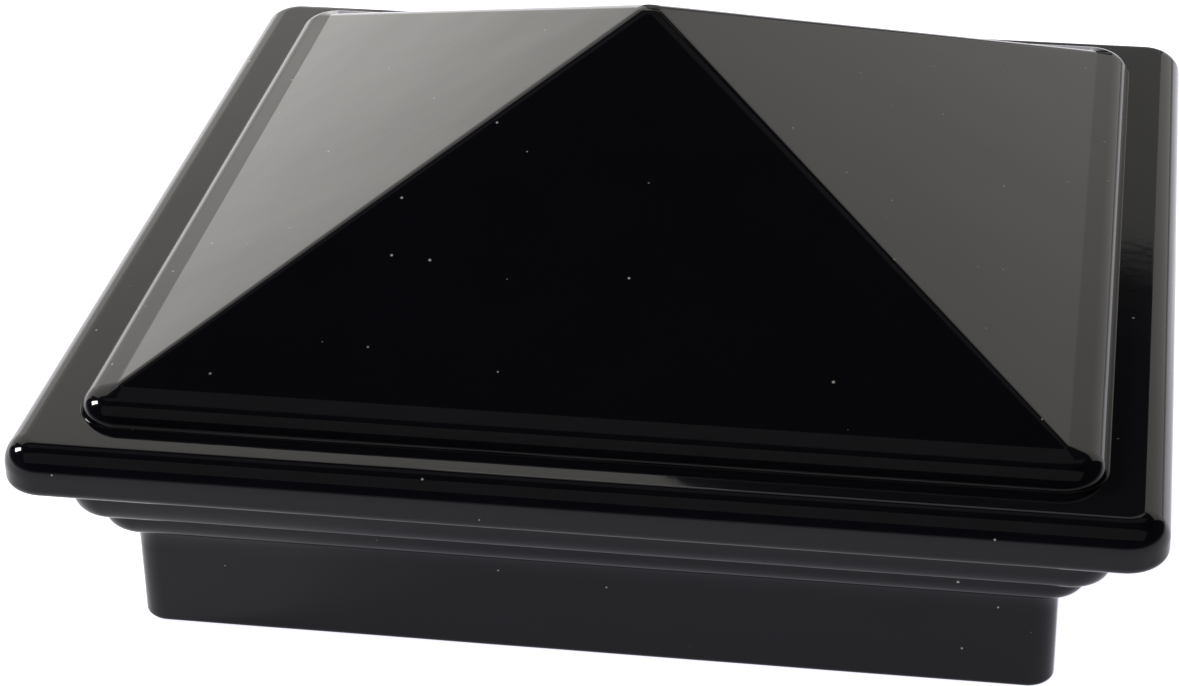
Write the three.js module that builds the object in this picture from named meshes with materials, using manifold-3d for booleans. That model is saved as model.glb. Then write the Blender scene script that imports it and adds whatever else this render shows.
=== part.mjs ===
// Fence post cap: a hollow cast pyramid cap whose collar slips over a square post, and the two
// washered screws that fix the collar to the post. The screws stand started in their holes, with
// their tips level with the collar's inside. Millimetres, +Z up, origin under the middle of the
// flange at the height of the collar's rim. The collar's four stops rest on the post's end.

import * as THREE from 'three';
import { mergeVertices } from 'three/addons/utils/BufferGeometryUtils.js';
import Module from 'manifold-3d';

const wasm = await Module();
wasm.setup();

// ---------------------------------------------------------------- driving dimensions

const flangeWidth = 123;
const flangeThickness = 5.4;
const flangeCorner = 4.7;
const topRound = 3;
const bottomRound = 1.1;

const collarWidth = 101;
const collarWall = 4;
const collarHeight = 9.4;
const collarCorner = 3;
const socketCorner = 2.5;
const rimRound = 0.6;

const cove = { depth: 0.9, height: 3.2 };
const lowerStep = { depth: 2.1, height: 3.4 };
const stepLedge = 0.9;
const upperStep = { depth: 1.8, height: 5.9 };

const stepFullness = 0.75;

const bead = { half: 52, sunk: 0.45, radius: 2.9, startTilt: 12, corner: 5 };
const roofHalf = 50.72;

const apexHeight = 55.6;
const apexRound = { radius: 1.6, blunt: 0.5, fall: 0.35 };
const roofSlope = 0.503;
const hipRound = 1;
const roofWall = 3.1;

const stopHeight = 19.5;
const stopLeg = 13;

const screwHeight = 5.6;
const screwLength = 9.5;
const screwRadius = 2.1;
const screwPoint = 2.4;
const headRadius = 4;
const headHeight = 2.6;
const recessDepth = 1.5;
const recessSpan = 4.4;
const recessWidth = 0.9;
const holeRadius = 2.5;

const washerRadius = 4.75;
const washerBore = 2.4;
const washerThickness = 1.2;
const washerBevel = 0.2;
const seatGap = 0.3;

// ---------------------------------------------------------------- levels and places

const coveTop = collarHeight + cove.height;
const flangeBottom = coveTop + lowerStep.height + upperStep.height;
const flangeTop = flangeBottom + flangeThickness;
const socketHalf = collarWidth / 2 - collarWall;
const screwSides = { left: -1, right: 1 };

const cornerSegments = 6;
const arcSegments = 6;
const edgeSegments = 10;
const roundSegments = 32;

// ---------------------------------------------------------------- materials

function coat(name, color, roughness, metalness) {
  return new THREE.MeshStandardMaterial({ name, color, roughness, metalness });
}

const powderCoat = () => coat('powder_coat', 0x15161a, 0.16, 0.1);
const blackSteel = () => coat('black_steel', 0x2a2b2e, 0.38, 0.8);
const nylon = () => coat('nylon', 0x1a1a1b, 0.6, 0);

// ---------------------------------------------------------------- square rings

// One level of a square body: half its width, the radius of its corners and its height.
function ring(half, corner, z) {
  return { half, corner: Math.max(corner, 0), z };
}

// Quarter-round stretch of levels from one angle to another about a centre in the section.
function arcRings({ half, z, radius, from, to, segments, corner }) {
  const rings = [];
  for (let i = 0; i <= segments; i += 1) {
    const angle = from + (to - from) * (i / segments);
    const reach = half + radius * Math.cos(angle);
    rings.push(ring(reach, corner(reach), z + radius * Math.sin(angle)));
  }
  return rings;
}

// Point of a rounded square outline, step by step round its four corners.
function outlinePoint({ half, corner }, step) {
  const quarter = Math.floor(step / (cornerSegments + 1)) % 4;
  const part = (step % (cornerSegments + 1)) / cornerSegments;
  const radius = Math.min(corner, half);
  const angle = (quarter + part) * (Math.PI / 2);
  const signX = quarter === 0 || quarter === 3 ? 1 : -1;
  const signY = quarter < 2 ? 1 : -1;
  const x = signX * (half - radius) + radius * Math.cos(angle);
  const y = signY * (half - radius) + radius * Math.sin(angle);
  return [x, y];
}

// Closed body through a list of levels from the top down, starting and ending on the axis: a lathe
// whose rounds are drawn out to rounded squares. The profile runs upwards, so faces look outwards.
function squareLathe(levels) {
  const rings = [...levels].reverse();
  const steps = 4 * (cornerSegments + 1);
  const profile = rings.map(({ half, z }) => new THREE.Vector2(half, z));
  const geometry = new THREE.LatheGeometry(profile, steps);
  const position = geometry.attributes.position;
  for (let step = 0; step <= steps; step += 1) {
    rings.forEach((level, i) => {
      const [x, y] = outlinePoint(level, step % steps);
      position.setXYZ(step * rings.length + i, x, y, level.z);
    });
  }
  return geometry;
}

// ---------------------------------------------------------------- solids and booleans

function toManifold(geometry) {
  const plain = geometry.clone();
  plain.deleteAttribute('normal');
  plain.deleteAttribute('uv');
  const merged = mergeVertices(plain, 1e-4);
  const vertProperties = new Float32Array(merged.attributes.position.array);
  const triVerts = new Uint32Array(merged.index.array);
  return new wasm.Manifold(new wasm.Mesh({ numProp: 3, vertProperties, triVerts }));
}

function toGeometry(solid) {
  const { vertProperties, triVerts } = solid.getMesh();
  const geometry = new THREE.BufferGeometry();
  geometry.setAttribute('position', new THREE.BufferAttribute(vertProperties, 3));
  geometry.setIndex(new THREE.BufferAttribute(triVerts, 1));
  geometry.computeVertexNormals();
  return geometry;
}

function part(name, geometry, material) {
  const mesh = new THREE.Mesh(geometry, material);
  mesh.name = name;
  return mesh;
}

// ---------------------------------------------------------------- casting

// Corner radius that keeps a band of even width round a corner of known radius.
const parallel = (half, corner) => (reach) => corner + reach - half;

function roofRings() {
  return [
    ring(0, 0, apexHeight - apexRound.blunt),
    ring(apexRound.radius, apexRound.radius, apexHeight - apexRound.blunt - apexRound.fall),
    ring(roofHalf, hipRound, apexHeight - roofSlope * roofHalf),
  ];
}

// The bead round the roof: one arc centred a little below the flange's flat, from where it leaves the
// roof, nearly level, to where it stands almost upright at its foot.
function beadRings() {
  return arcRings({
    half: bead.half, z: flangeTop - bead.sunk, radius: bead.radius,
    from: THREE.MathUtils.degToRad(90 - bead.startTilt), to: Math.asin(bead.sunk / bead.radius),
    segments: arcSegments, corner: parallel(bead.half + bead.radius, bead.corner),
  });
}

// The flange's edge: a large round above, a short upright face, a small round below.
function flangeRings() {
  const corner = parallel(flangeWidth / 2, flangeCorner);
  const upper = arcRings({
    half: flangeWidth / 2 - topRound, z: flangeTop - topRound, radius: topRound,
    from: Math.PI / 2, to: 0, segments: edgeSegments, corner,
  });
  const lower = arcRings({
    half: flangeWidth / 2 - bottomRound, z: flangeBottom + bottomRound, radius: bottomRound,
    from: 0, to: -Math.PI / 2, segments: edgeSegments / 2, corner,
  });
  return [...upper, ...lower];
}

// Convex step below the flange, a squared-off quarter-round from an upright start to the next level.
function stepRings(innerHalf, top, { depth, height }, corner) {
  const rings = [];
  for (let i = 0; i <= arcSegments; i += 1) {
    const angle = (i / arcSegments) * (Math.PI / 2);
    const across = Math.max(Math.cos(angle), 0) ** stepFullness;
    const down = Math.sin(angle) ** stepFullness;
    rings.push(ring(innerHalf + depth * across, corner, top - height * down));
  }
  return rings;
}

// Hollow sweep from the lower step's inner edge down into the collar's upright face.
function coveRings(half) {
  const rings = [];
  for (let i = 1; i <= 4; i += 1) {
    const angle = (i / 4) * (Math.PI / 2);
    const reach = half + cove.depth * (1 - Math.sin(angle));
    rings.push(ring(reach, collarCorner, collarHeight + cove.height * Math.cos(angle)));
  }
  return rings;
}

function collarRings() {
  const half = collarWidth / 2;
  const lowerHalf = half + cove.depth;
  const upperHalf = lowerHalf + lowerStep.depth + stepLedge;
  const rim = arcRings({
    half: half - rimRound, z: rimRound, radius: rimRound, from: 0, to: -Math.PI / 2,
    segments: 3, corner: parallel(half, collarCorner),
  });
  return [
    ...stepRings(upperHalf, flangeBottom, upperStep, collarCorner + 0.8),
    ...stepRings(lowerHalf, coveTop + lowerStep.height, lowerStep, collarCorner + 0.4),
    ...coveRings(half),
    ...rim,
    ring(0, 0, 0),
  ];
}

// Height of the roof's underside at a distance from the middle.
function undersideHeight(half) {
  return apexHeight - roofWall - roofSlope * half;
}

// The space inside: a square socket, closed above by the roof's underside.
function hollow() {
  const below = -1;
  const socket = squareLathe([
    ring(0, 0, apexHeight),
    ring(socketHalf, socketCorner, apexHeight),
    ring(socketHalf, socketCorner, below),
    ring(0, 0, below),
  ]);
  const underRoof = squareLathe([
    ring(0, 0, undersideHeight(0)),
    ring(flangeWidth / 2, socketCorner, undersideHeight(flangeWidth / 2)),
    ring(flangeWidth / 2, socketCorner, 2 * below),
    ring(0, 0, 2 * below),
  ]);
  return toManifold(socket).intersect(toManifold(underRoof));
}

// Cast stop in one inside corner: a triangular web whose underside meets the post's end.
function stopWeb(quarter) {
  const outside = socketHalf + 1;
  const web = new THREE.Shape([
    new THREE.Vector2(outside, outside),
    new THREE.Vector2(socketHalf - stopLeg, outside),
    new THREE.Vector2(outside, socketHalf - stopLeg),
  ]);
  const geometry = new THREE.ExtrudeGeometry(web, { depth: apexHeight - stopHeight, bevelEnabled: false });
  geometry.rotateZ(quarter * (Math.PI / 2));
  geometry.translate(0, 0, stopHeight);
  return toManifold(geometry);
}

function screwHole() {
  const hole = new THREE.CylinderGeometry(holeRadius, holeRadius, 2 * flangeWidth, roundSegments);
  hole.rotateZ(Math.PI / 2);
  hole.translate(0, 0, screwHeight);
  return toManifold(hole);
}

function casting() {
  const outside = squareLathe([...roofRings(), ...beadRings(), ...flangeRings(), ...collarRings()]);
  let inside = hollow();
  for (let quarter = 0; quarter < 4; quarter += 1) {
    inside = inside.subtract(stopWeb(quarter));
  }
  return toGeometry(toManifold(outside).subtract(inside).subtract(screwHole()));
}

// ---------------------------------------------------------------- screws and washers

// Self-tapping pan-head screw along +Z, its head's seat at z = 0 and its point below.
function screwBody() {
  const domeRadius = (headRadius ** 2 + headHeight ** 2) / (2 * headHeight);
  const dome = [];
  for (let i = 0; i <= arcSegments; i += 1) {
    const angle = Math.asin(headRadius / domeRadius) * (i / arcSegments);
    const fall = domeRadius * (1 - Math.cos(angle));
    dome.push(new THREE.Vector2(domeRadius * Math.sin(angle), headHeight - fall));
  }
  const profile = [
    ...dome,
    new THREE.Vector2(screwRadius, 0),
    new THREE.Vector2(screwRadius, screwPoint - screwLength),
    new THREE.Vector2(0, -screwLength),
  ];
  return uprightLathe(profile);
}

// Round body from a profile listed from the top down, turned from the lathe's own +Y axis to +Z.
function uprightLathe(profile) {
  const geometry = new THREE.LatheGeometry([...profile].reverse(), roundSegments);
  geometry.rotateX(Math.PI / 2);
  return geometry;
}

// Cross recess in the head's dome.
function recess() {
  const depth = 2 * recessDepth;
  const first = toManifold(new THREE.BoxGeometry(recessSpan, recessWidth, depth));
  const second = toManifold(new THREE.BoxGeometry(recessWidth, recessSpan, depth));
  return first.add(second).translate(0, 0, headHeight);
}

function screwGeometry() {
  return toGeometry(toManifold(screwBody()).subtract(recess()));
}

function washerGeometry() {
  const top = -seatGap;
  const bottom = top - washerThickness;
  return toGeometry(toManifold(uprightLathe([
    new THREE.Vector2(washerBore, top),
    new THREE.Vector2(washerRadius - washerBevel, top),
    new THREE.Vector2(washerRadius, top - washerBevel),
    new THREE.Vector2(washerRadius, bottom + washerBevel),
    new THREE.Vector2(washerRadius - washerBevel, bottom),
    new THREE.Vector2(washerBore, bottom),
    new THREE.Vector2(washerBore, top),
  ])));
}

// Screw and washer on one side of the collar, head outwards, tip level with the inner wall.
function fixing(side, sign) {
  const group = new THREE.Group();
  group.add(part(`screw_${side}`, screwGeometry(), blackSteel()));
  group.add(part(`washer_${side}`, washerGeometry(), nylon()));
  group.rotation.y = sign * (Math.PI / 2);
  group.position.set(sign * (socketHalf + screwLength), 0, screwHeight);
  return group;
}

// ---------------------------------------------------------------- assembly

const postCap = new THREE.Group();
postCap.add(part('cap_casting', casting(), powderCoat()));
for (const [side, sign] of Object.entries(screwSides)) {
  postCap.add(fixing(side, sign));
}

export default postCap;
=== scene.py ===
"""Looks of the fence post cap: the fine casting, its screws and washers, their materials, and a
plain studio. Lengths in the tables below are millimetres; everything built is in metres, in the
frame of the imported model, whose origin is under the middle of the flange at the rim's height."""

import math

import bpy
import numpy as np
from mathutils import Matrix, Vector, noise


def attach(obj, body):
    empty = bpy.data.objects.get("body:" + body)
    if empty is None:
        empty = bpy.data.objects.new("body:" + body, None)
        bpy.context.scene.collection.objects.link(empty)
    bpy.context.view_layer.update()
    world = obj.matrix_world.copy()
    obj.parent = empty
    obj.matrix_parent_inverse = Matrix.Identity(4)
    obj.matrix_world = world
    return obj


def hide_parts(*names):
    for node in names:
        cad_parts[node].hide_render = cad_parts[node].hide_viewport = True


MM = 0.001
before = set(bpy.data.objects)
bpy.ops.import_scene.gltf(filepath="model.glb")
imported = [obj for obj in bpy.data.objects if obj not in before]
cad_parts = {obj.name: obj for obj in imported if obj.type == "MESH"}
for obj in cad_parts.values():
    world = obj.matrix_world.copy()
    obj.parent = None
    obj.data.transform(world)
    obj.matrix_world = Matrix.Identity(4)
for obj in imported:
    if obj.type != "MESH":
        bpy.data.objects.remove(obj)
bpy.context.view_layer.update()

# ---------------------------------------------------------------- casting, in millimetres
# HALF is from the middle to a flat side, heights are above the rim. CORNER is the radius of a square
# outline's corners seen from above, ROUND the radius of an edge seen in the section.

APEX = 55.6
APEX_BLUNT = 0.5
APEX_ROUND = 2.6
SLOPE = 0.503
HIP_AT_APEX = 0.8
HIP_AT_EDGE = 1.0
ROOF_EDGE = 50.72
ROOF_EDGE_ROUND = 1.2
ROOF_WALL = 3.1

BEAD_RADIUS = 2.9
BEAD_CENTRE = (52.0, 26.85)
BEAD_TILT = (12, 80)
BEAD_CORNER = 5.0
BEAD_FOOT = 54.86
BEAD_FOOT_ROUND = 0.15

FLANGE_HALF = 61.5
FLANGE_TOP = 27.3
FLANGE_BOTTOM = 21.9
FLANGE_CORNER = 4.7
FLANGE_TOP_ROUND = 3.0
FLANGE_BOTTOM_ROUND = 1.1
FLANGE_ROOT_ROUND = 0.3

STEP_CORNER = 3.6
STEP_FULLNESS = 0.75
STEP_ROUND = 0.25
UPPER_STEP_HALF = 56.2
UPPER_STEP = (1.8, 5.9)
LOWER_STEP_HALF = 53.5
LOWER_STEP_TOP = 16.0
LOWER_STEP = (2.1, 3.4)
COVE_TOP = 12.6
COVE = (0.9, 3.2)

COLLAR_HALF = 50.5
COLLAR_CORNER = 3.0
RIM_OUTER_ROUND = 0.6
RIM_INNER_ROUND = 0.5
SOCKET_HALF = 46.5
SOCKET_CORNER = 2.5
SOCKET_TOP_ROUND = 1.2
STOP_HEIGHT = 19.5
STOP_LEG = 13.0
STOP_SUNK = 1.0

# ---------------------------------------------------------------- screws, in millimetres
# Along a screw, heights are from the seat of its head, positive outwards.

SCREW_HEIGHT = 5.6
SCREW_LENGTH = 9.5
SCREW_POINT = 2.4
POINT_RADIUS = 0.12
CORE_RADIUS = 1.5
THREAD_RADIUS = 2.1
THREAD_PITCH = 1.411
THREAD_FLANK = 0.30
THREAD_FULLNESS = 0.85
THREAD_LENGTH = SCREW_LENGTH - 0.5
THREAD_END = 1 - 0.015
THREAD_AT_POINT = 0.35
HEAD_RADIUS = 4.0
HEAD_HEIGHT = 2.6
HEAD_CROWN = 0.93
HEAD_RIM = 0.35
HEAD_RIM_START = 0.35
HEAD_RIM_SQUASH = 0.8
HEAD_UNDERCUT = 0.35
RECESS_SPAN = 4.4
RECESS_WIDTH = 0.9
RECESS_DEPTH = 1.5
RECESS_TAPER = (1.25, 0.62)
RECESS_TURN = 0.4
HOLE_RADIUS = 2.5
HOLE_BEVEL = 0.35
WASHER_RADIUS = 4.75
WASHER_BORE = 2.4
WASHER_THICKNESS = 1.2
WASHER_ROUND = 0.22
SEAT_GAP = 0.3

# ---------------------------------------------------------------- fineness of the meshes

CORNER_STEPS = 12
SIDE_STEPS = 26
ROUND_STEPS = 64
ROUND_ANGLES = [2 * math.pi * k / ROUND_STEPS for k in range(ROUND_STEPS)]
BEAD_ROWS = 18
QUARTER_ROWS = 17
CROWN_ROWS = 16
HEAD_RIM_ROWS = 8
ROWS_A_TURN = 14
ARC_STEP = math.radians(7)
FEWEST_ARC_STEPS = 3
LONGEST_ROW = 2.4
SMALLEST_CORNER = 0.3
POLE = 1e-6
WAVE_HEIGHT = 0.022
WAVE_LENGTH = 17.0
FINE_WAVE = (2.3, 0.35)

# ---------------------------------------------------------------- studio, in metres

LOOKED_AT = Vector((0, 0, FLANGE_TOP * MM))
FLOOR_HALF = 6.0
FLOOR_DROP = 0.0001
FLOOR_GLOW = (0.91, 0.90, 1.0)
FLOOR_GLOW_STRENGTH = 1.05
LIGHT_COLOUR = (1.0, 0.97, 0.92)
HORIZON = (0.9, 0.9, 0.9)
CEILING = (0.045, 0.045, 0.048)
CEILING_FROM = 0.12


# ---------------------------------------------------------------- node materials


class Shader:
    """A node material with one Principled shader, and short names for the nodes it is made of."""

    def __init__(self, name, **sockets):
        self.material = bpy.data.materials.new(name)
        self.material.use_nodes = True
        self.nodes = self.material.node_tree.nodes
        self.links = self.material.node_tree.links
        self.bsdf = self.nodes["Principled BSDF"]
        self.place = self.nodes.new("ShaderNodeTexCoord").outputs["Object"]
        for socket, value in sockets.items():
            self.bsdf.inputs[socket.replace("_", " ")].default_value = value

    def link(self, source, target):
        self.links.new(source, target)

    def put(self, source, socket):
        self.link(source, self.bsdf.inputs[socket])

    def noise(self, size_mm, detail=2.0, rough=0.5, stretch=None):
        node = self.nodes.new("ShaderNodeTexNoise")
        node.inputs["Scale"].default_value = 1 / (size_mm * MM)
        node.inputs["Detail"].default_value = detail
        node.inputs["Roughness"].default_value = rough
        self.link(self.stretched(stretch), node.inputs["Vector"])
        return node.outputs["Fac"]

    def stretched(self, stretch):
        if stretch is None:
            return self.place
        mapping = self.nodes.new("ShaderNodeMapping")
        mapping.inputs["Scale"].default_value = stretch
        self.link(self.place, mapping.inputs["Vector"])
        return mapping.outputs["Vector"]

    def cells(self, size_mm):
        node = self.nodes.new("ShaderNodeTexVoronoi")
        node.inputs["Scale"].default_value = 1 / (size_mm * MM)
        self.link(self.place, node.inputs["Vector"])
        return node.outputs["Distance"], node.outputs["Color"]

    def fit(self, source, given, wanted=(0.0, 1.0)):
        """Maps the given range of a value onto the wanted one."""
        node = self.nodes.new("ShaderNodeMapRange")
        for socket, value in zip(("From Min", "From Max", "To Min", "To Max"), (*given, *wanted)):
            node.inputs[socket].default_value = value
        self.link(source, node.inputs["Value"])
        return node.outputs["Result"]

    def math(self, kind, first, second):
        node = self.nodes.new("ShaderNodeMath")
        node.operation = kind
        for socket, value in zip(node.inputs, (first, second)):
            if isinstance(value, (int, float)):
                socket.default_value = value
            else:
                self.link(value, socket)
        return node.outputs["Value"]

    def mix(self, factor, dark, light):
        node = self.nodes.new("ShaderNodeMix")
        node.data_type = "RGBA"
        self.link(factor, node.inputs["Factor"])
        for name, colour in (("A", dark), ("B", light)):
            socket = [s for s in node.inputs if s.name == name and s.type == "RGBA"][0]
            if isinstance(colour, tuple):
                socket.default_value = (*colour, 1)
            else:
                self.link(colour, socket)
        return [s for s in node.outputs if s.type == "RGBA"][0]

    def bump(self, height, depth_mm, under=None):
        node = self.nodes.new("ShaderNodeBump")
        node.inputs["Strength"].default_value = 1.0
        node.inputs["Distance"].default_value = depth_mm * MM
        self.link(height, node.inputs["Height"])
        if under is not None:
            self.link(under, node.inputs["Normal"])
        return node.outputs["Normal"]


def specks(shader, cell_mm, radius_mm):
    """1 at rare tiny round specks on a surface, 0 elsewhere, each cell's speck of its own size."""
    smallest, softness = 0.25, 0.5
    distance, colour = shader.cells(cell_mm)
    sizes = (smallest * radius_mm / cell_mm, radius_mm / cell_mm)
    size = shader.fit(colour, (0.0, 1.0), sizes)
    edge = shader.math("MULTIPLY", size, softness)
    gap = shader.math("SUBTRACT", size, distance)
    return shader.math("MINIMUM", shader.math("MAXIMUM", shader.math("DIVIDE", gap, edge), 0.0), 1.0)


def gloss_coat():
    """Black gloss powder coat: orange peel, slow waves, handling haze, dust caught in the coat."""
    deep, pale, dust_grey = (0.0022, 0.0023, 0.0038), (0.0034, 0.0035, 0.0056), (0.42, 0.41, 0.38)
    dust_roughness = 0.5
    s = Shader("gloss_powder_coat", Specular_IOR_Level=0.18, Metallic=0.0)
    dust = specks(s, cell_mm=3.7, radius_mm=0.24)
    tone = s.mix(s.noise(9.0, detail=3.0), deep, pale)
    s.put(s.mix(dust, tone, dust_grey), "Base Color")
    haze = s.fit(s.noise(14.0, detail=4.0, rough=0.62), given=(0.35, 0.75), wanted=(0.045, 0.085))
    s.put(s.math("MAXIMUM", haze, s.math("MULTIPLY", dust, dust_roughness)), "Roughness")
    waves = s.bump(s.noise(11.0, detail=1.0), depth_mm=0.022)
    peel = s.bump(s.noise(1.5, detail=1.5), depth_mm=0.0028, under=waves)
    s.put(s.bump(dust, depth_mm=0.02, under=peel), "Normal")
    return s.material


def inside_coat():
    """The thin dull overspray inside the cap, with the cast skin's grain showing through it."""
    black, bare_grey = (0.016, 0.016, 0.018), (0.060, 0.060, 0.062)
    s = Shader("cast_inside", Specular_IOR_Level=0.3, Metallic=0.0)
    bare = s.fit(s.noise(16.0, detail=5.0, rough=0.65), given=(0.50, 0.72))
    s.put(s.mix(bare, black, bare_grey), "Base Color")
    s.put(s.fit(s.noise(4.0, detail=3.0), given=(0.3, 0.7), wanted=(0.42, 0.68)), "Roughness")
    grain = s.bump(s.noise(0.7, detail=3.0, rough=0.6), depth_mm=0.05)
    s.put(s.bump(s.noise(7.0, detail=2.0), depth_mm=0.12, under=grain), "Normal")
    return s.material


def screw_steel():
    """Black-oxide steel with fine scuffs that show brighter metal."""
    black, bright = (0.030, 0.030, 0.034), (0.22, 0.21, 0.20)
    s = Shader("black_oxide_steel", Metallic=1.0)
    scuff = s.fit(s.noise(1.1, detail=5.0, rough=0.7, stretch=(1.0, 3.0, 0.6)), given=(0.60, 0.74))
    s.put(s.mix(scuff, black, bright), "Base Color")
    s.put(s.fit(s.noise(0.8, detail=3.0), given=(0.3, 0.7), wanted=(0.26, 0.46)), "Roughness")
    s.put(s.bump(s.noise(0.25, detail=2.0), depth_mm=0.006), "Normal")
    return s.material


def washer_nylon():
    """Moulded black nylon: faint flow mottling and a dull, slightly rough skin."""
    black, mottled = (0.010, 0.010, 0.011), (0.026, 0.026, 0.028)
    s = Shader("black_nylon", Specular_IOR_Level=0.45, Metallic=0.0)
    s.put(s.mix(s.noise(2.2, detail=4.0), black, mottled), "Base Color")
    s.put(s.fit(s.noise(1.2, detail=3.0), given=(0.3, 0.7), wanted=(0.42, 0.60)), "Roughness")
    s.put(s.bump(s.noise(0.35, detail=2.0), depth_mm=0.012), "Normal")
    return s.material


# ---------------------------------------------------------------- mesh building


def rounded_rows(corners):
    """Rows (half, height, corner) along a section whose points (half, height, round, corner) become
    arcs of the radius round; a point whose round is 0 stays as it is."""
    rows = []
    for i, (half, height, radius, plan) in enumerate(corners):
        if not radius:
            rows.append((half, height, plan))
            continue
        here = np.array((half, height))
        back = np.array(corners[i - 1][:2]) - here
        ahead = np.array(corners[i + 1][:2]) - here
        back = back / np.linalg.norm(back)
        ahead = ahead / np.linalg.norm(ahead)
        turn = math.pi - math.acos(float(np.clip(back @ ahead, -1, 1)))
        middle = (back + ahead) / np.linalg.norm(back + ahead)
        centre = here + middle * radius / math.cos(turn / 2)
        near = here + back * radius * math.tan(turn / 2) - centre
        far = here + ahead * radius * math.tan(turn / 2) - centre
        way = math.copysign(1.0, near[0] * far[1] - near[1] * far[0])
        count = max(FEWEST_ARC_STEPS, math.ceil(turn / ARC_STEP))
        for k in range(count + 1):
            angle = way * turn * k / count
            x = centre[0] + near[0] * math.cos(angle) - near[1] * math.sin(angle)
            z = centre[1] + near[0] * math.sin(angle) + near[1] * math.cos(angle)
            rows.append((x, z, plan + x - half))
    return rows


def filled_rows(rows, longest):
    """The same rows with more between them wherever two are further apart than longest."""
    filled = [rows[0]]
    for last, row in zip(rows, rows[1:]):
        gap = math.dist(last[:2], row[:2])
        count = max(1, math.ceil(gap / longest))
        for k in range(1, count + 1):
            filled.append(tuple(a + (b - a) * k / count for a, b in zip(last, row)))
    return filled


def square_ring(half, height, plan):
    """Points of a rounded square at a height, anticlockwise, the same number at every size; one
    point at the axis."""
    if half < POLE:
        return [(0.0, 0.0, height)]
    radius = min(max(plan, SMALLEST_CORNER), half)
    points = []
    for turns in range(4):
        turn = turns * math.pi / 2
        cos, sin = math.cos(turn), math.sin(turn)
        corner = [(half - radius + radius * math.cos(a), half - radius + radius * math.sin(a))
                  for a in np.linspace(0, math.pi / 2, CORNER_STEPS + 1)]
        side = [(x, half) for x in np.linspace(half - radius, radius - half, SIDE_STEPS + 1)[1:-1]]
        points += [(x * cos - y * sin, x * sin + y * cos, height) for x, y in corner + side]
    return points


def round_ring(radius, height):
    """Points of a circle at a height, or one point at the axis."""
    if radius < POLE:
        return [(0.0, 0.0, height)]
    return [(radius * math.cos(a), radius * math.sin(a), height) for a in ROUND_ANGLES]


def stacked(rings, closed_ends=True):
    """Vertices and faces of a body through rings of points, each ring with the same number of points.
    A ring of one point is a pole."""
    verts, starts, faces = [], [], []
    for points in rings:
        starts.append(len(verts))
        verts += points
    for i in range(len(rings) - 1):
        upper, lower = starts[i], starts[i + 1]
        top, bottom = len(rings[i]), len(rings[i + 1])
        count = max(top, bottom)
        for k in range(count):
            n = (k + 1) % count
            if top == 1:
                faces.append((upper, lower + k, lower + n))
            elif bottom == 1:
                faces.append((upper + k, lower, upper + n))
            else:
                faces.append((upper + k, lower + k, lower + n, upper + n))
    if closed_ends and len(rings[0]) > 1:
        faces.append(tuple(starts[0] + k for k in range(len(rings[0]))))
    if closed_ends and len(rings[-1]) > 1:
        faces.append(tuple(starts[-1] + k for k in reversed(range(len(rings[-1])))))
    return verts, faces


def mesh_object(name, verts, faces, materials):
    """An object from vertices in millimetres."""
    mesh = bpy.data.meshes.new(name)
    mesh.from_pydata([tuple(MM * c for c in v) for v in verts], [], faces)
    for material in materials:
        mesh.materials.append(material)
    mesh.validate()
    piece = bpy.data.objects.new(name, mesh)
    bpy.context.scene.collection.objects.link(piece)
    return piece


def cut(piece, tool, operation):
    """Applies one boolean with another object, which is used up."""
    modifier = piece.modifiers.new("cut", "BOOLEAN")
    modifier.operation = operation
    modifier.solver = "EXACT"
    modifier.object = tool
    shown = piece.evaluated_get(bpy.context.evaluated_depsgraph_get())
    mesh = bpy.data.meshes.new_from_object(shown)
    piece.modifiers.clear()
    piece.data = mesh
    bpy.data.objects.remove(tool)


def smoothed(piece, sharp_degrees):
    """Smooth shading with sharp edges above an angle, and normals that keep flat faces flat."""
    piece.data.shade_smooth()
    piece.data.set_sharp_from_angle(angle=math.radians(sharp_degrees))
    normals = piece.modifiers.new("normals", "WEIGHTED_NORMAL")
    normals.keep_sharp = True


def place_outwards(piece, sign, distance):
    """Turns a piece made along +Z to point out of the collar's side, its origin that far out."""
    turn = Matrix.Rotation(sign * math.pi / 2, 4, "Y")
    move = Matrix.Translation((MM * sign * distance, 0, MM * SCREW_HEIGHT))
    piece.data.transform(move @ turn)


# ---------------------------------------------------------------- casting


def quarter(half, top, size, plan, fullness=1.0, hollow=False):
    """Corners of an upright quarter of an ellipse, from its top inwards and down; size is its depth
    and height. A fullness below 1 squares the curve off."""
    depth, height = size
    corners = []
    for angle in np.linspace(0, math.pi / 2, QUARTER_ROWS):
        across, along = max(math.cos(angle), 0.0) ** fullness, math.sin(angle) ** fullness
        inwards, down = (along, 1 - across) if hollow else (1 - across, along)
        corners.append((half - depth * inwards, top - height * down, 0, plan))
    return corners


def bead():
    """Corners of the bead's arc, from where it leaves the roof to its foot on the flange."""
    half, height = BEAD_CENTRE
    corners = []
    for tilt in np.radians(np.linspace(*BEAD_TILT, BEAD_ROWS)):
        x = half + BEAD_RADIUS * math.sin(tilt)
        plan = BEAD_CORNER + x - BEAD_FOOT
        corners.append((x, height + BEAD_RADIUS * math.cos(tilt), 0, plan))
    return corners


def underside(half):
    """Height of the roof's underside at a distance from the middle."""
    return APEX - ROOF_WALL - SLOPE * half


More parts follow.
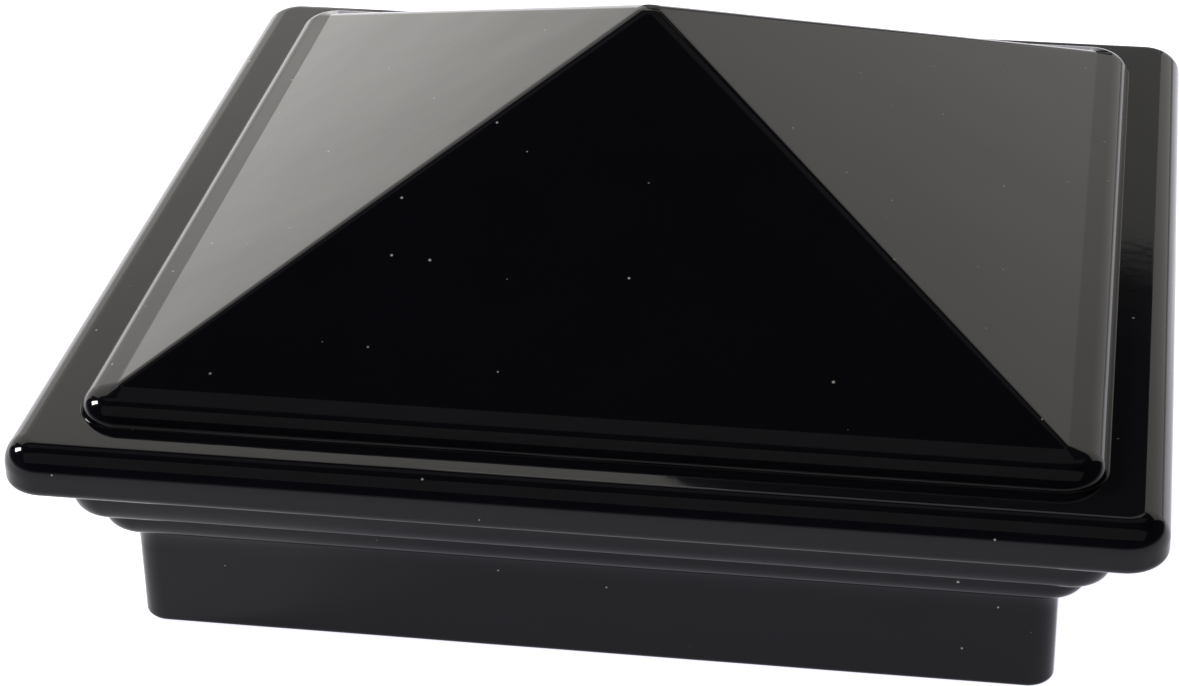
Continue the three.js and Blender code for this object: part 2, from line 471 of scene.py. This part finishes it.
def shell_rows():
    """The casting's section from its point down the outside, round the rim and up the inside."""
    roof = [
        (0, APEX - APEX_BLUNT, 0, 0),
        (APEX_BLUNT / SLOPE, APEX - APEX_BLUNT, APEX_ROUND, HIP_AT_APEX),
        (ROOF_EDGE, APEX - SLOPE * ROOF_EDGE, ROOF_EDGE_ROUND, HIP_AT_EDGE),
    ]
    roof += bead()
    flange = [
        (BEAD_FOOT, FLANGE_TOP, BEAD_FOOT_ROUND, BEAD_CORNER),
        (FLANGE_HALF, FLANGE_TOP, FLANGE_TOP_ROUND, FLANGE_CORNER),
        (FLANGE_HALF, FLANGE_BOTTOM, FLANGE_BOTTOM_ROUND, FLANGE_CORNER),
        (UPPER_STEP_HALF, FLANGE_BOTTOM, FLANGE_ROOT_ROUND, STEP_CORNER),
    ]
    steps = quarter(UPPER_STEP_HALF, FLANGE_BOTTOM, UPPER_STEP, STEP_CORNER, STEP_FULLNESS)[1:]
    steps += [(LOWER_STEP_HALF, LOWER_STEP_TOP, STEP_ROUND, STEP_CORNER)]
    steps += quarter(LOWER_STEP_HALF, LOWER_STEP_TOP, LOWER_STEP, STEP_CORNER, STEP_FULLNESS)[1:]
    steps += quarter(COLLAR_HALF + COVE[0], COVE_TOP, COVE, COLLAR_CORNER, hollow=True)[1:]
    collar = [
        (COLLAR_HALF, 0, RIM_OUTER_ROUND, COLLAR_CORNER),
        (SOCKET_HALF, 0, RIM_INNER_ROUND, SOCKET_CORNER),
        (SOCKET_HALF, underside(SOCKET_HALF), SOCKET_TOP_ROUND, SOCKET_CORNER),
        (0, underside(0), 0, 0),
    ]
    return filled_rows(rounded_rows(roof + flange + steps + collar), LONGEST_ROW)


def dulled_inside(piece):
    """Gives the faces of the space inside the cap, above the rim's round, the second material."""
    rim_band, side_allowance, top_allowance = 0.0008, 0.3, 0.0006
    reach = (SOCKET_HALF + side_allowance) * MM
    for polygon in piece.data.polygons:
        x, y, z = polygon.center
        half = max(abs(x), abs(y))
        below_roof = z < underside(half / MM) * MM + top_allowance
        polygon.material_index = int(rim_band < z and below_roof and half < reach)


def waved(piece):
    """Lifts and sinks the surface by a few hundredths, as a real casting's skin does."""
    finer, weaker = FINE_WAVE
    mesh = piece.data
    normals = [v.normal.copy() for v in mesh.vertices]
    for vertex, normal in zip(mesh.vertices, normals):
        where = vertex.co / (WAVE_LENGTH * MM)
        lift = noise.noise(where) + weaker * noise.noise(where * finer)
        vertex.co += normal * lift * WAVE_HEIGHT * MM


def stop_web(corner, materials):
    """Cast stop in one inside corner, a triangular web sunk into the walls and the roof."""
    outside = SOCKET_HALF + STOP_SUNK
    near = SOCKET_HALF - STOP_LEG
    turn = Matrix.Rotation(corner * math.pi / 2, 3, "Z")
    ends = ((outside, outside, 0), (near, outside, 0), (outside, near, 0))
    outline = [turn @ Vector(p) for p in ends]
    top = underside(SOCKET_HALF) + ROOF_WALL / 2
    rings = [[(p.x, p.y, z) for p in outline] for z in (top, STOP_HEIGHT)]
    return mesh_object(f"web_{corner}", *stacked(rings), materials)


def hole_tool(sign, materials):
    """Cutter for one screw hole, with a small bevel at the collar's outer face."""
    beyond = 2
    wall, face = SOCKET_HALF - beyond, COLLAR_HALF
    profile = [
        (0, face + beyond),
        (HOLE_RADIUS + beyond + HOLE_BEVEL, face + beyond),
        (HOLE_RADIUS, face - HOLE_BEVEL),
        (HOLE_RADIUS, wall),
        (0, wall),
    ]
    rings = [round_ring(radius, height) for radius, height in profile]
    tool = mesh_object("hole_tool", *stacked(rings), materials)
    place_outwards(tool, sign, 0.0)
    return tool


def casting():
    materials = [gloss_coat(), inside_coat()]
    rings = [square_ring(half, height, plan) for half, height, plan in shell_rows()]
    shell = mesh_object("cap_shell", *stacked(rings), materials)
    waved(shell)
    for corner in range(4):
        cut(shell, stop_web(corner, materials), "UNION")
    for sign in (-1, 1):
        cut(shell, hole_tool(sign, materials), "DIFFERENCE")
    dulled_inside(shell)
    smoothed(shell, sharp_degrees=35)
    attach(shell, "casting")
    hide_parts("cap_casting")


# ---------------------------------------------------------------- screws and washers


def thread_lift(phase):
    """0 at the root and 1 on the crest of a spaced sheet-metal thread."""
    return max(0.0, 1 - abs(phase % 1.0 - 0.5) / THREAD_FLANK) ** THREAD_FULLNESS


def head_profile():
    """Pan head from its crown down to the seat and in to the core."""
    dome = (HEAD_RADIUS**2 + HEAD_HEIGHT**2) / (2 * HEAD_HEIGHT)
    widest = math.asin(HEAD_RADIUS / dome)
    rim, squash = HEAD_RIM, HEAD_RIM_SQUASH
    rows = [(dome * math.sin(a), HEAD_HEIGHT - dome * (1 - math.cos(a)))
            for a in np.linspace(0, widest * HEAD_CROWN, CROWN_ROWS)]
    rows += [(HEAD_RADIUS - rim + rim * math.sin(a), rim * math.cos(a) * squash + rim * squash)
             for a in np.linspace(math.pi * HEAD_RIM_START, math.pi, HEAD_RIM_ROWS)]
    rows += [(HEAD_RADIUS - rim, 0.0), (CORE_RADIUS + HEAD_UNDERCUT, 0.0), (CORE_RADIUS, -HEAD_UNDERCUT)]
    return rows


def screw_rings():
    """Rings of a whole screw: the head, then the thread as it turns and tapers down to the point."""
    rings = [round_ring(radius, height) for radius, height in head_profile()]
    count = int(THREAD_LENGTH / (THREAD_PITCH / ROWS_A_TURN))
    for i in range(1, count + 1):
        height = -HEAD_UNDERCUT - THREAD_LENGTH * i / count * THREAD_END
        taper = min(1.0, (SCREW_LENGTH + height) / SCREW_POINT)
        fade = min(1.0, (-height - HEAD_UNDERCUT) / THREAD_PITCH)
        core = POINT_RADIUS + (CORE_RADIUS - POINT_RADIUS) * taper
        sharpened = min(1.0, THREAD_AT_POINT + (1 - THREAD_AT_POINT) * taper)
        depth = (THREAD_RADIUS - CORE_RADIUS) * fade * sharpened * min(1.0, 2.5 * taper)
        ring = []
        for a in ROUND_ANGLES:
            radius = core + depth * thread_lift(height / THREAD_PITCH + a / (2 * math.pi))
            ring.append((radius * math.cos(a), radius * math.sin(a), height))
        rings.append(ring)
    rings.append([(0.0, 0.0, -SCREW_LENGTH)])
    return rings


def recess_tool(materials, turn):
    """One bar of the cross recess, narrowing downwards."""
    spin = Matrix.Rotation(turn, 3, "Z")
    rings = []
    for height, scale in zip((HEAD_HEIGHT + 1, HEAD_HEIGHT - RECESS_DEPTH), RECESS_TAPER):
        x, y = RECESS_SPAN / 2 * scale, RECESS_WIDTH / 2 * (0.5 + scale / 2)
        corners = [spin @ Vector(p) for p in ((x, y, 0), (-x, y, 0), (-x, -y, 0), (x, -y, 0))]
        rings.append([(p.x, p.y, height) for p in corners])
    return mesh_object("recess_tool", *stacked(rings), materials)


def screw(side, sign, steel):
    piece = mesh_object(f"pan_screw_{side}", *stacked(screw_rings()), [steel])
    for turn in (0.0, math.pi / 2):
        cut(piece, recess_tool([steel], turn + RECESS_TURN), "DIFFERENCE")
    place_outwards(piece, sign, SOCKET_HALF + SCREW_LENGTH)
    smoothed(piece, sharp_degrees=38)
    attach(piece, f"{side}_screw")
    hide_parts(f"screw_{side}")


def washer(side, sign, nylon):
    """Flat ring with rounded edges, its section turned once round and joined to its start."""
    top, bottom = -SEAT_GAP, -SEAT_GAP - WASHER_THICKNESS
    start = ((WASHER_BORE + WASHER_RADIUS) / 2, top, 0, 0)
    edges = ((WASHER_RADIUS, top), (WASHER_RADIUS, bottom), (WASHER_BORE, bottom), (WASHER_BORE, top))
    section = [start, *((half, height, WASHER_ROUND, 0) for half, height in edges), start]
    rings = [round_ring(half, height) for half, height, _ in rounded_rows(section)[:-1]]
    verts, faces = stacked([*rings, rings[0]], closed_ends=False)
    last = len(verts) - ROUND_STEPS
    faces = [tuple(v - last if v >= last else v for v in face) for face in faces]
    piece = mesh_object(f"nylon_washer_{side}", verts[:last], faces, [nylon])
    place_outwards(piece, sign, SOCKET_HALF + SCREW_LENGTH)
    smoothed(piece, sharp_degrees=50)
    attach(piece, f"{side}_washer")
    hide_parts(f"washer_{side}")


# ---------------------------------------------------------------- studio


def floor():
    """Pale glowing ground, a hair below the rim so that the two never fight for the same depth."""
    ends = ((-1, -1), (1, -1), (1, 1), (-1, 1))
    corners = [(x * FLOOR_HALF, y * FLOOR_HALF, -FLOOR_DROP) for x, y in ends]
    plane = bpy.data.meshes.new("floor")
    plane.from_pydata(corners, [], [(0, 1, 2, 3)])
    ground = bpy.data.objects.new("floor", plane)
    bpy.context.scene.collection.objects.link(ground)
    s = Shader("floor", Specular_IOR_Level=0.0, Roughness=1.0)
    s.put(s.mix(s.noise(900.0, detail=2.0), (0.90, 0.90, 0.90), (0.93, 0.93, 0.93)), "Base Color")
    s.bsdf.inputs["Emission Color"].default_value = (*FLOOR_GLOW, 1.0)
    s.bsdf.inputs["Emission Strength"].default_value = FLOOR_GLOW_STRENGTH
    plane.materials.append(s.material)


def softbox(name, azimuth, elevation, distance, width, height, radiance):
    """Flat light facing the cap. Azimuth 0 is behind it, +Y; positive azimuths are towards +X."""
    light = bpy.data.lights.new(name, "AREA")
    light.shape = "RECTANGLE"
    light.size, light.size_y = width, height
    light.energy = radiance * math.pi * width * height
    light.color = LIGHT_COLOUR
    lamp = bpy.data.objects.new(name, light)
    a, e = math.radians(azimuth), math.radians(elevation)
    way = Vector((math.sin(a) * math.cos(e), math.cos(a) * math.cos(e), math.sin(e)))
    lamp.location = LOOKED_AT + way * distance
    lamp.rotation_euler = way.to_track_quat("Z", "Y").to_euler()
    bpy.context.scene.collection.objects.link(lamp)


def lights():
    """Each box stands where one flat part of the cap reflects it to the camera. The numbers are
    azimuth, elevation, distance, width, height and radiance."""
    softbox("box_left_low", -38, 8.5, 1.3, 1.10, 0.53, 1.4)
    softbox("box_left_high", -34, 31, 1.3, 1.02, 0.50, 1.3)
    softbox("box_right", 29, 20, 1.3, 0.80, 0.72, 1.05)
    softbox("box_bridge", 0, 41, 1.3, 0.56, 0.22, 0.9)
    softbox("box_back_low", 0, 18.5, 1.3, 0.44, 0.40, 0.5)
    softbox("top_glow", -10, 62, 1.5, 1.7, 0.42, 0.2)
    softbox("box_left_mid", -28, 17.5, 1.28, 0.60, 0.14, 0.45)
    softbox("front_fill", 180, 60, 1.6, 3.6, 1.3, 0.36)
    softbox("spark_left", -79, 30, 1.1, 0.18, 0.30, 60.0)


def room():
    """Dim surroundings that fade from a pale horizon to a dark ceiling."""
    world = bpy.data.worlds.new("room")
    world.use_nodes = True
    tree = world.node_tree
    place = tree.nodes.new("ShaderNodeTexCoord").outputs["Generated"]
    split = tree.nodes.new("ShaderNodeSeparateXYZ")
    ramp = tree.nodes.new("ShaderNodeValToRGB")
    tree.links.new(place, split.inputs["Vector"])
    tree.links.new(split.outputs["Z"], ramp.inputs["Fac"])
    tree.links.new(ramp.outputs["Color"], tree.nodes["Background"].inputs["Color"])
    stops = ((0.0, HORIZON), (CEILING_FROM, CEILING))
    for element, (position, colour) in zip(ramp.color_ramp.elements, stops):
        element.position = position
        element.color = (*colour, 1)
    bpy.context.scene.world = world


def camera():
    """Long lens from the front, a little to the right and above, slightly rolled."""
    azimuth, elevation, roll = math.radians(9.84), math.radians(28.93), math.radians(-1.19)
    distance, aside, down = 0.3919, -0.0074, -0.01412
    back = Vector((
        math.sin(azimuth) * math.cos(elevation),
        -math.cos(azimuth) * math.cos(elevation),
        math.sin(elevation),
    ))
    right = Vector((0, 0, 1)).cross(back).normalized()
    up = back.cross(right)
    data = bpy.data.cameras.new("camera")
    data.sensor_width = 36.0
    data.lens = 100.92
    data.clip_start = 0.01
    eye = bpy.data.objects.new("camera", data)
    right, up = right * math.cos(roll) + up * math.sin(roll), up * math.cos(roll) - right * math.sin(roll)
    eye.location = LOOKED_AT + back * distance + right * aside + up * down
    eye.rotation_mode = "QUATERNION"
    eye.rotation_quaternion = Matrix((right, up, back)).transposed().to_quaternion()
    bpy.context.scene.collection.objects.link(eye)
    bpy.context.scene.camera = eye


camera()
room()
lights()
floor()
casting()
steel, nylon = screw_steel(), washer_nylon()
for side, sign in (("left", -1), ("right", 1)):
    screw(side, sign, steel)
    washer(side, sign, nylon)
bpy.context.scene.view_settings.view_transform = "Standard"
